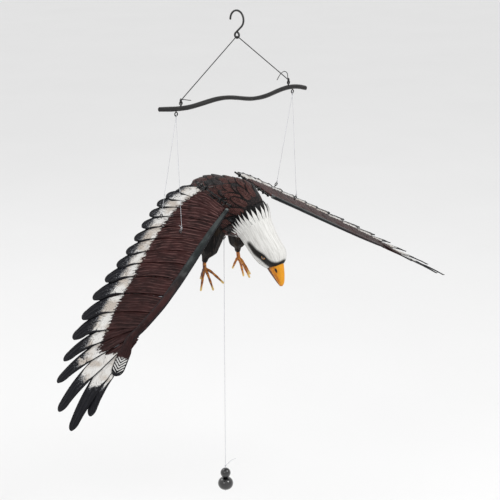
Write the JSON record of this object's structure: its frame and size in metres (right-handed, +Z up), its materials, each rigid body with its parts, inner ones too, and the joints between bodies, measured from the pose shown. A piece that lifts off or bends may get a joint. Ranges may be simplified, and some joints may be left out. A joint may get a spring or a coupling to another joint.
{
  "type": "motion wing decoy",
  "caption": "Hanging eagle mobile with two hinged feathered wings on a hook, cord and bar, moved by a pull cord with a knob.",
  "frame": {"origin": "top inside face of the hook crook, where it bears on the nail or branch that it hangs from", "axes": "+Z up, +X along the spread wings towards the left wing, the bird faces -Y"},
  "size_m": [0.6962, 0.2033, 0.6524],
  "materials": {
    "hook_wire": "gloss black",
    "black_cord": "braided",
    "bar_paint": "gloss black",
    "screw_eyes": "blackened steel",
    "clear_line": "clear nylon",
    "hinge_steel": "dark steel",
    "body_feathers": "moulded and painted feathers",
    "head_feathers": "moulded and painted feathers",
    "beak": "satin",
    "eyes": "gloss",
    "tail_feathers": "moulded and painted feathers",
    "thigh_feathers": "moulded and painted feathers",
    "feet": "satin",
    "wing_feathers": "moulded and painted feathers",
    "pull_line": "clear nylon",
    "knob": "high gloss"
  },
  "bodies": {
    "hook": {"hook": "hook_wire"},
    "hanger": {"hanger_cord": "black_cord", "hanger_knots": "black_cord", "bar": "bar_paint", "bar_top_eyes": "screw_eyes", "bar_bottom_eyes": "screw_eyes", "line_right_front": "clear_line", "line_right_rear": "clear_line", "line_left_front": "clear_line", "line_left_rear": "clear_line", "line_top_knots": "clear_line", "line_end_knots": "clear_line"},
    "bird": {"body_hinge_eyes": "screw_eyes", "hinge_rod_right": "hinge_steel", "hinge_rod_left": "hinge_steel", "body_right": "body_feathers", "body_left": "body_feathers", "head": "head_feathers", "beak": "beak", "eyes": "eyes", "tail": "tail_feathers", "thigh_right": "thigh_feathers", "thigh_left": "thigh_feathers", "foot_right": "feet", "foot_left": "feet", "belly_eye": "screw_eyes"},
    "right_wing": {"wing_right": "wing_feathers", "wing_right_lift_eyes": "screw_eyes", "wing_right_hinge_eyes": "screw_eyes"},
    "left_wing": {"wing_left": "wing_feathers", "wing_left_lift_eyes": "screw_eyes", "wing_left_hinge_eyes": "screw_eyes"},
    "pull": {"pull_cord": "pull_line", "pull_top_knot": "pull_line", "knob_upper_ball": "knob", "knob_lower_ball": "knob", "knob_stop_knot": "pull_line"}
  },
  "joints": [
    {"name": "hanger_swing", "type": "hinge", "parent": "hook", "child": "hanger", "pos_m": [0, 0, -0.03154], "axis": [0, 1, 0], "range_deg": [-15, 15]},
    {"name": "body_drop", "type": "slide", "parent": "hanger", "child": "bird", "axis": [0, 0.342, -0.9397], "range_m": [0, 0.04594]},
    {"name": "right_wing_flap", "type": "hinge", "parent": "bird", "child": "right_wing", "pos_m": [-0.0348, 0.008, -0.22054], "axis": [0, 0.9397, 0.342], "range_deg": [0, 36.05]},
    {"name": "left_wing_flap", "type": "hinge", "parent": "bird", "child": "left_wing", "pos_m": [0.0348, 0.008, -0.22054], "axis": [0, -0.9397, -0.342], "range_deg": [0, 36.05]},
    {"name": "pull_swing", "type": "hinge", "parent": "bird", "child": "pull", "pos_m": [0, 0.024, -0.28634], "axis": [1, 0, 0], "range_deg": [-40, 40]}
  ],
  "couplings": [
    {"joint": "right_wing_flap", "follows": "body_drop", "rad_per_m": 13.677},
    {"joint": "left_wing_flap", "follows": "body_drop", "rad_per_m": 13.677}
  ]
}
